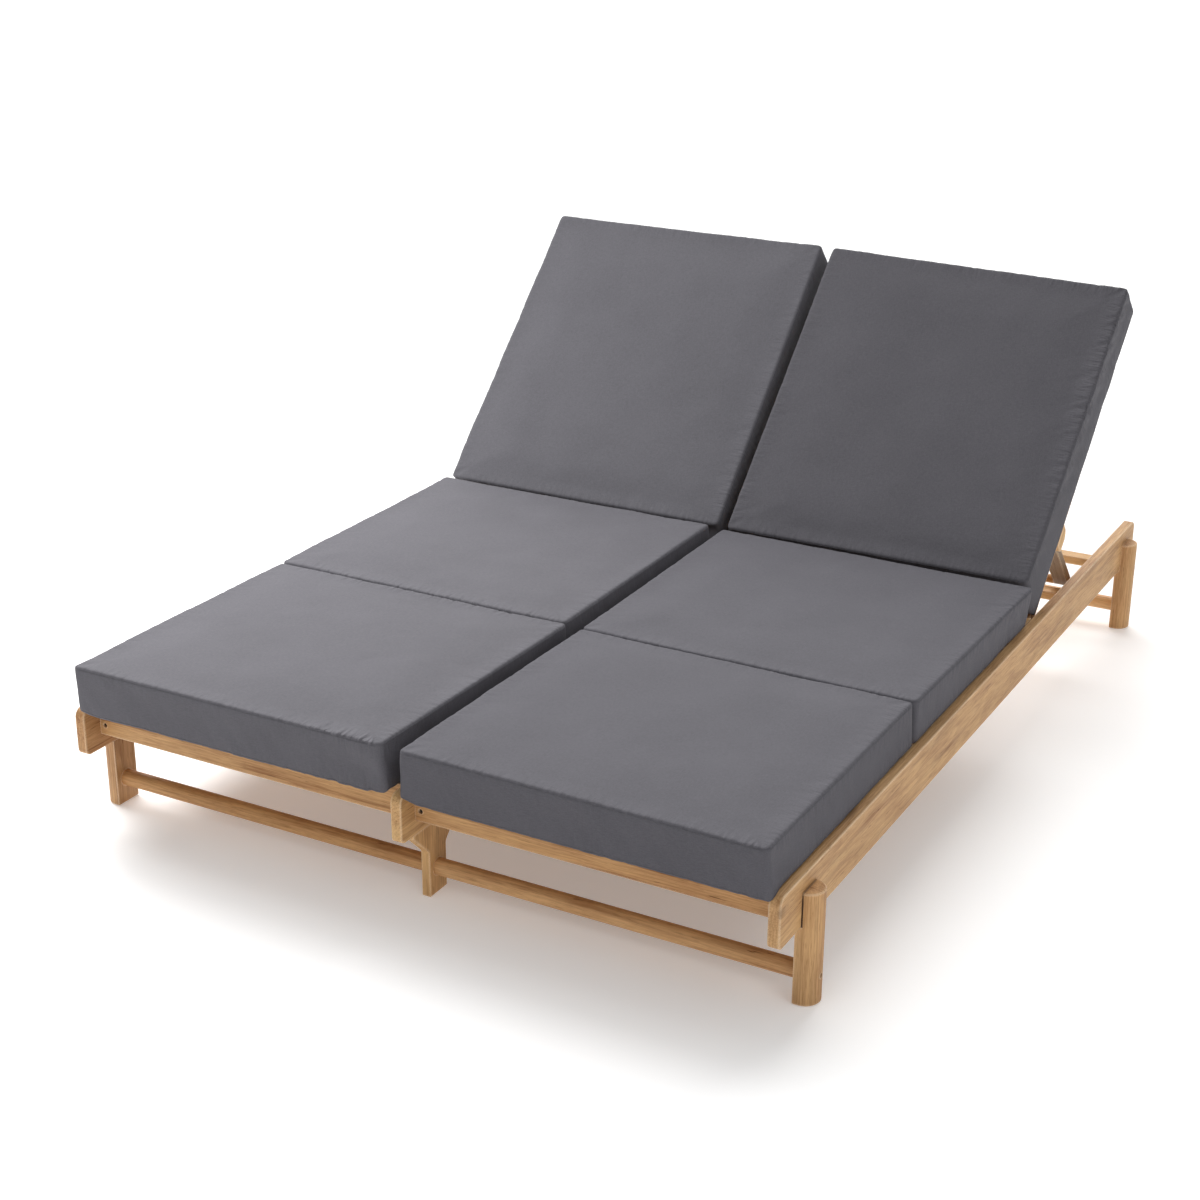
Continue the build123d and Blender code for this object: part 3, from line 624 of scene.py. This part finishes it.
def to_seam(place, width, length):
    """How far a place is from the nearer of the two seams, over the surface."""
    level = min(place.z, cushion_thickness - place.z)
    return max(to_rim(place, width, length), 0.0) + max(level, 0.0)


def rim_gaps(place, width, length):
    """How far a place is in plan from each edge of the cushion."""
    return {
        "right": width / 2 - place.x,
        "left": place.x + width / 2,
        "heel": place.y,
        "head": length - place.y,
    }


def off_corner(place, width, length):
    """0 where a place is as near to one edge as to the next, and 1 away from that fold line."""
    first, second = sorted(rim_gaps(place, width, length).values())[:2]
    return smooth((second - first) / corner_ease)


def round_the_rim(place, width, length):
    """Length along the rim at a place, from the middle of the heel edge round by the right."""
    gaps = rim_gaps(place, width, length)
    edge = min(gaps, key=gaps.get)
    if edge == "heel":
        return place.x
    if edge == "right":
        return width / 2 + place.y
    if edge == "head":
        return width / 2 + length + (width / 2 - place.x)
    return -width / 2 - place.y


def cover_box(name, width, length):
    """New cover: the box of cells with its plan corners rounded."""
    bm = foam_grid(width - 2 * start_inset, length - 2 * start_inset, cushion_thickness)
    for v in bm.verts:
        v.co.y += start_inset
        v.co = round_plan(v.co, width - 2 * start_inset, length)
    mesh = bpy.data.meshes.new(name)
    bm.to_mesh(mesh)
    bm.free()
    obj = bpy.data.objects.new(name, mesh)
    bpy.context.scene.collection.objects.link(obj)
    return obj


def beside_on_band(mesh, index, neighbours):
    """The neighbour of an edge vertex that lies on the side band."""
    here = mesh.vertices[index].co
    return min(neighbours[index], key=lambda i: hypot(*(mesh.vertices[i].co - here)[:2]))


def find_seams(mesh, width, length):
    """The vertices of the lower and the upper seam, and for each its neighbour on the side band."""
    rings = ([], [])
    for v in mesh.vertices:
        if to_rim(v.co, width, length) < at_rim:
            for ring, level in zip(rings, (0.0, cushion_thickness)):
                if abs(v.co.z - level) < at_level:
                    ring.append(v.index)
    neighbours = {index: [] for ring in rings for index in ring}
    for edge in mesh.edges:
        for here, there in (edge.vertices, reversed(edge.vertices)):
            if here in neighbours:
                neighbours[here].append(there)
    besides = [[beside_on_band(mesh, index, neighbours) for index in ring] for ring in rings]
    return rings, besides


def fill_with_air(obj, seams):
    """Cloth simulation that swells the cover and draws its seams tighter. Returns the cover's new places."""
    group = obj.vertex_groups.new(name="seams")
    group.add(seams, 1.0, "REPLACE")
    cover = obj.modifiers.new("cover", "CLOTH")
    settings = cover.settings
    settings.quality = 4
    settings.mass = 0.3
    settings.tension_stiffness = 12.0
    settings.compression_stiffness = 12.0
    settings.shear_stiffness = 6.0
    settings.bending_stiffness = 0.4
    settings.use_pressure = True
    settings.uniform_pressure_force = air_pressure
    settings.vertex_group_shrink = "seams"
    settings.shrink_min = -panel_ease
    settings.shrink_max = seam_draw
    settings.effector_weights.gravity = 0.0
    cover.collision_settings.use_collision = False
    cover.point_cache.frame_start = 1
    cover.point_cache.frame_end = pressure_frames
    scene = bpy.context.scene
    for number in range(1, pressure_frames + 1):
        scene.frame_set(number)
    swelled = obj.evaluated_get(bpy.context.evaluated_depsgraph_get())
    places = [v.co.copy() for v in swelled.data.vertices]
    obj.modifiers.remove(cover)
    obj.vertex_groups.clear()
    scene.frame_set(1)
    return places


def fill_cover(obj, seams, width, length):
    """Fills the cover with air and holds it near its box."""
    mesh = obj.data
    start = [v.co.copy() for v in mesh.vertices]
    facings = [v.normal.copy() for v in mesh.vertices]
    moved = fill_with_air(obj, seams)
    for v, first, facing, place in zip(mesh.vertices, start, facings, moved):
        under = first.z < at_level
        rise = smooth(to_seam(first, width, length) / reach_rise)
        reach = under_reach if under else seam_reach + (panel_reach - seam_reach) * rise
        step = place - first
        step -= facing * min(step.dot(facing), 0.0)
        if step.length > reach:
            step = step * (reach / step.length)
        v.co = first + step
        if under:
            v.co.z = max(v.co.z, 0.0)


def refine(obj):
    """Gives the cover its mesh subdivided once."""
    coarse = obj.data
    name = coarse.name
    finer = obj.modifiers.new("finer", "SUBSURF")
    finer.levels = finer.render_levels = 1
    obj_now = obj.evaluated_get(bpy.context.evaluated_depsgraph_get())
    fine = bpy.data.meshes.new_from_object(obj_now)
    obj.modifiers.remove(finer)
    obj.data = fine
    bpy.data.meshes.remove(coarse)
    fine.name = name


def pull_at(along, pulls):
    """How strongly the seam gathers the cloth at a length along the rim."""
    return seam_pull + sum(more * exp(-(((along - middle) / half) ** 2)) for middle, half, more in pulls)


def seam_noise(along, away, seed, counts):
    """Noise over the length along a seam and the way off it."""
    return noise.noise(Vector((along * counts[0], away * counts[1], seed)))


def cushion_noise(place, seed, count):
    """Noise over a cushion's own frame."""
    return noise.noise(Vector((place.x * count, place.y * count, place.z * count + seed)))


def crumple(place, along, away, pull, on_band, seed):
    """How far the cover stands out at a place.

    Short puckers lie at the seams, upright folds on the band, and soft waves everywhere."""
    slant = along + pucker_slant * away
    crease = seam_noise(slant, away, seed, pucker_counts)
    crease += fine_pucker_share * seam_noise(slant, away, seed + 7.0, fine_pucker_counts)
    soft = cushion_noise(place, seed, wave_count)
    soft += fine_wave_share * cushion_noise(place, seed, fine_wave_count)
    folds = seam_noise(along + fold_lean * place.z, place.z, seed + 3.0, fold_counts)
    soft += (fold_share + fold_pull * pull) * on_band * smooth((away - fold_start) / fold_rise) * folds
    pucker = pucker_depth * pull * smooth(away / pucker_start)
    return wave_depth * soft - pucker * max(crease + pucker_bias, 0.0) * exp(-away / pucker_fade)


def corner_shift(place, width, length, shifts):
    """The shift at a place, spread evenly between those of the eight corners."""
    across = min(max(place.x / width + 0.5, 0.0), 1.0)
    along = min(max(place.y / length, 0.0), 1.0)
    up = min(max(place.z / cushion_thickness, 0.0), 1.0)
    total = Vector((0.0, 0.0, 0.0))
    for number, shift in enumerate(shifts):
        share = across if number % 2 else 1 - across
        share *= along if number // 2 % 2 else 1 - along
        share *= up if number // 4 else 1 - up
        total += Vector(shift) * (share / 1000.0)
    return total


def sag(place, width, depth, past_right_rail):
    """How far down the front lower edge hangs, up to the rails or past the right one."""
    to_side = width / 2 + place.x if past_right_rail else width / 2 - abs(place.x)
    front = smooth((sag_start - place.y) / sag_run)
    return depth * front * smooth(to_side / sag_side_run) * smooth(1.0 - place.z / sag_height)


def droop(place, width):
    """How far down a back cushion hangs beside its right stile."""
    beside = smooth((place.x - width / 2 + droop_start) / droop_run)
    return droop_depth * beside * smooth(1.0 - place.z / droop_height)


def off_rail(place, width):
    """How far up the left edge of a back cushion stays off the rail that it meets when it lies flat."""
    over_rail = smooth((rail_lift_start - width / 2 - place.x) / rail_lift_run)
    return rail_lift * over_rail * smooth(1.0 - place.z / rail_lift_height)


def heel_push(place):
    """How far the seat cushion pushes the heel of a back cushion along its back."""
    above = smooth((place.z - heel_lift_start) / heel_lift_run)
    return heel_lift * above * smooth(1.0 - place.y / heel_lift_length)


def settle(place, width, length, look):
    """Where a place of a used cushion moves to: off its square corners, and as its own weight takes it."""
    total = corner_shift(place, width, length, look["shifts"])
    total.z -= sag(place, width, *look["sag"])
    if look["on_back"]:
        total.z -= droop(place, width)
        total.z += off_rail(place, width)
        total.y += heel_push(place)
    return total


def gather_and_settle(mesh, width, length, look):
    """Gives the cover its puckers and folds, and lays it like a used cushion.

    Writes the rim attribute that the cloth reads: length along the rim, way off the seam, and pull."""
    places = [v.co.copy() for v in mesh.vertices]
    outward = [v.normal.copy() for v in mesh.vertices]
    rims = []
    settled = []
    for place, normal in zip(places, outward):
        rim_gap = to_rim(place, width, length)
        away = to_seam(place, width, length)
        along = round_the_rim(place, width, length)
        pull = pull_at(along, look["pulls"]) * off_corner(place, width, length)
        if look["on_back"]:
            pull *= smooth(place.z / lower_seam_ease)
        rims.extend((along, away, pull))
        if place.z > flat_underside or rim_gap < underside_rim:
            on_band = smooth(1.0 - rim_gap / band_width)
            place = place + normal * crumple(place, along, away, pull, on_band, look["seed"])
        place = place + settle(place, width, length, look)
        if look["on_back"] and place.z < droop_level:
            place.x = min(place.x, width / 2 + droop_side)
        settled.extend(place)
    mesh.vertices.foreach_set("co", settled)
    mesh.attributes.new("rim", "FLOAT_VECTOR", "POINT").data.foreach_set("vector", rims)


def dress(mesh, material):
    """Gives a mesh its one material and smooth shading."""
    mesh.materials.clear()
    mesh.materials.append(material)
    for polygon in mesh.polygons:
        polygon.use_smooth = True


def sew_cushion(node, body, width, length, put, look):
    """One box cushion: cover, simulated filling, puckers along its seams, and a welt on each seam."""
    name = f"{node}_cover"
    obj = cover_box(name, width, length)
    rings, besides = find_seams(obj.data, width, length)
    fill_cover(obj, rings[0] + rings[1], width, length)
    refine(obj)
    mesh = obj.data
    gather_and_settle(mesh, width, length, look)
    mesh.transform(put)
    dress(mesh, look["cloth"])
    mesh.update()
    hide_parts(node)
    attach(obj, body)
    finder = kdtree.KDTree(len(mesh.vertices))
    for v in mesh.vertices:
        finder.insert(v.co, v.index)
    finder.balance()
    for ring, beside, level in zip(rings, besides, ("lower", "upper")):
        sewn = [(mesh.vertices[a].co + mesh.vertices[b].co) / 2 for a, b in zip(ring, beside)]
        sewn_ring = [finder.find(place)[1] for place in sewn]
        sew_welt(f"{name}_{level}_seam", body, mesh, sewn_ring, length, put)


def sew_welt(name, body, mesh, ring, length, put):
    """Fine sewn line through one ring of the cover's vertices, in their order round its middle."""
    flat = put.inverted()
    middle = Vector((0.0, length / 2, 0.0))
    order = sorted(ring, key=lambda i: atan2(*(flat @ mesh.vertices[i].co - middle)[:2]))
    curve = bpy.data.curves.new(name, "CURVE")
    curve.dimensions = "3D"
    curve.bevel_depth = welt_radius
    curve.bevel_resolution = 1
    line = curve.splines.new("POLY")
    line.points.add(len(order) - 1)
    for point, index in zip(line.points, order):
        v = mesh.vertices[index]
        point.co = (*(v.co - v.normal * welt_radius * welt_sunk), 1.0)
    line.use_cyclic_u = True
    shape = bpy.data.objects.new(name + "_line", curve)
    welt_mesh = bpy.data.meshes.new_from_object(shape)
    bpy.data.objects.remove(shape)
    welt_mesh.name = name
    dress(welt_mesh, seam_cloth)
    welt = bpy.data.objects.new(name, welt_mesh)
    bpy.context.scene.collection.objects.link(welt)
    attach(welt, body)


# Shifts of a cushion's corners in millimetres, of the underside and then of the top. Each row has left and
# right at the heel or foot end, then left and right at the head end.
unmoved = (0, 0, 0)
corner_shifts = {
    "left_foot": (
        (-6, 0, 0), (-5, 0, 0), (0, 1, 0), (2, 1, 0),
        (-9, 0, 8), (-13, 0, 9), (-4, 1, 9), (-4, 1, 8),
    ),
    "right_foot": (
        (-1, 0, 0), (8, -2, 0), (0, 1, 0), (5, 1, 0),
        (2, 0, 8), (-1, 0, 1), (5, 1, 6), (0, 1, 2),
    ),
    "left_seat": (
        (0, -1, 0), (0, -1, 0), unmoved, unmoved,
        (-6, -1, 9), (-11, -1, 8), (-14, 0, 9), (-12, 0, 11),
    ),
    "right_seat": (
        (0, -1, 0), (5, -1, 0), unmoved, (4, 0, 0),
        (4, -1, 5), (4, -1, 2), (-3, 0, 6), (13, 0, 3),
    ),
    "left_back": (
        unmoved, unmoved, (-24, 23, 0), (-10, 21, 0),
        (-20, 0, 3), (-4, 0, 3), (-31, 24, 4), (-12, 22, 4),
    ),
    "right_back": (
        unmoved, unmoved, (-12, 20, 0), (2, 17, 0),
        (-10, 0, 0), (-8, 0, 0), (-12, 22, 2), (4, 4, 0),
    ),
}

# Where a seam gathers more: middle and half length of the stretch along the rim, and the added pull
pulls = {
    "left_foot": ((0.28, 0.09, 1.0), (1.3, 0.25, 0.5)),
    "right_foot": ((0.33, 0.05, 0.3), (0.93, 0.06, 0.4)),
    "left_seat": ((0.0, 0.3, 0.3),),
    "right_seat": ((0.86, 0.12, 0.8),),
    "right_back": ((0.92, 0.28, 1.1),),
}

# How deep a front edge sags, and whether it hangs past the right rail
sags = {"left_foot": (0.004, False), "right_foot": (0.007, True)}

seeds = {"foot": 0.0, "seat": 10.0, "back": 31.0}


def look_of(part, side_name, side):
    """What sets one cushion apart from the others."""
    name = f"{side_name}_{part}"
    return {
        "shifts": corner_shifts[name],
        "pulls": pulls.get(name, ()),
        "sag": sags.get(name, (0.0, False)),
        "on_back": part == "back",
        "seed": seeds[part] + 3.0 * side,
        "cloth": cloths[name if part == "back" else side_name],
    }


for side_name, side in sides:
    for part in ("foot", "seat"):
        node_name = f"{side_name}_{part}_cushion"
        low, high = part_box(node_name)
        put = Matrix.Translation(((low.x + high.x) / 2, low.y, low.z))
        look = look_of(part, side_name, side)
        sew_cushion(node_name, "frame", high.x - low.x, high.y - low.y, put, look)
    put = Matrix.Translation((side * bay_centre, hinge_y, hinge_z)) @ Matrix.Rotation(back_angle, 4, "X")
    put = put @ Matrix.Translation((0.0, back_cushion_heel, back_cushion_seat))
    look = look_of("back", side_name, side)
    size = (back_cushion_width, back_cushion_length)
    sew_cushion(f"{side_name}_back_cushion", f"{side_name}_back", *size, put, look)


# Studio

floor_size = 60.0
floor_drop = 0.0005
paper_light = (0.96, 0.96, 0.96)
paper_dark = (0.94, 0.94, 0.94)
sky_light = 0.45
sky_seen = 1.0

# Name, kind, place, aim, power, and the size in metres of an area or the angle of a sun
lamps = (
    ("left", "AREA", (-1.8, -0.5, 1.6), (-0.4, 0.1, 0.4), 34.0, 1.0),
    ("top", "SUN", (-0.35, 0.62, 0.70), (0.0, 0.0, 0.0), 2.65, radians(50)),
    ("front", "SUN", (0.9, -0.45, 0.9), (0.0, 0.0, 0.0), 0.3, radians(30)),
)

camera_place = (1.783481, -3.527687, 1.818372)
camera_yaw, camera_pitch, camera_roll = 0.5025, -0.3792, 0.0046
sensor_width = 36.0
photo_width = 1200.0
photo_focus = 2046.23


def lay_floor():
    """Plain pale paper that glows faintly, so that the shadow on it stays soft."""
    bm = bmesh.new()
    bmesh.ops.create_grid(bm, x_segments=1, y_segments=1, size=floor_size)
    mesh = bpy.data.meshes.new("studio_floor")
    bm.to_mesh(mesh)
    bm.free()
    material, t, surface = new_material("floor_paper")
    mottle = t.noise(own_place(t), (3.0, 3.0, 3.0))
    t.join(t.blend(mottle, paper_dark, paper_light), surface.inputs["Base Color"])
    socket_values(surface, {
        "Roughness": 0.9,
        "Specular IOR Level": 0.1,
        "Emission Color": (1.0, 1.0, 1.0, 1.0),
        "Emission Strength": 0.2,
    })
    mesh.materials.append(material)
    floor = bpy.data.objects.new("studio_floor", mesh)
    floor.location.z = -floor_drop
    bpy.context.scene.collection.objects.link(floor)


def light_studio():
    """White surroundings, a large lamp on the left, and a wide and a narrow sun."""
    world = bpy.data.worlds.new("studio")
    world.use_nodes = True
    t = Tree(world.node_tree)
    sky = world.node_tree.nodes["Background"]
    sky.inputs["Color"].default_value = (1.0, 1.0, 1.0, 1.0)
    seen = t.add("ShaderNodeLightPath").outputs["Is Camera Ray"]
    t.join(t.spread(seen, 0.0, 1.0, sky_light, sky_seen), sky.inputs["Strength"])
    bpy.context.scene.world = world
    for name, kind, place, aim, power, size in lamps:
        lamp = bpy.data.lights.new(name, kind)
        lamp.energy = power
        if kind == "AREA":
            lamp.size = size
        else:
            lamp.angle = size
        obj = bpy.data.objects.new(name, lamp)
        obj.location = place
        obj.rotation_euler = (Vector(aim) - Vector(place)).to_track_quat("-Z", "Y").to_euler()
        bpy.context.scene.collection.objects.link(obj)
    bpy.context.scene.view_settings.view_transform = "Standard"
    bpy.context.scene.view_settings.look = "None"


def place_camera():
    """The camera stands ahead of the lounger on its right, above the cushions, and looks down at it."""
    data = bpy.data.cameras.new("camera")
    data.sensor_width = sensor_width
    data.lens = photo_focus / photo_width * sensor_width
    data.clip_start = 0.05
    data.clip_end = 200.0
    level_reach = cos(camera_pitch)
    forward = Vector((-sin(camera_yaw) * level_reach, cos(camera_yaw) * level_reach, sin(camera_pitch)))
    right = forward.cross(Vector((0.0, 0.0, 1.0))).normalized()
    up = right.cross(forward)
    tilt, lean = cos(camera_roll), sin(camera_roll)
    right, up = tilt * right + lean * up, tilt * up - lean * right
    turn = Matrix((right, up, -forward)).transposed().to_4x4()
    camera = bpy.data.objects.new("camera", data)
    camera.matrix_world = Matrix.Translation(camera_place) @ turn
    bpy.context.scene.collection.objects.link(camera)
    bpy.context.scene.camera = camera


lay_floor()
light_studio()
place_camera()
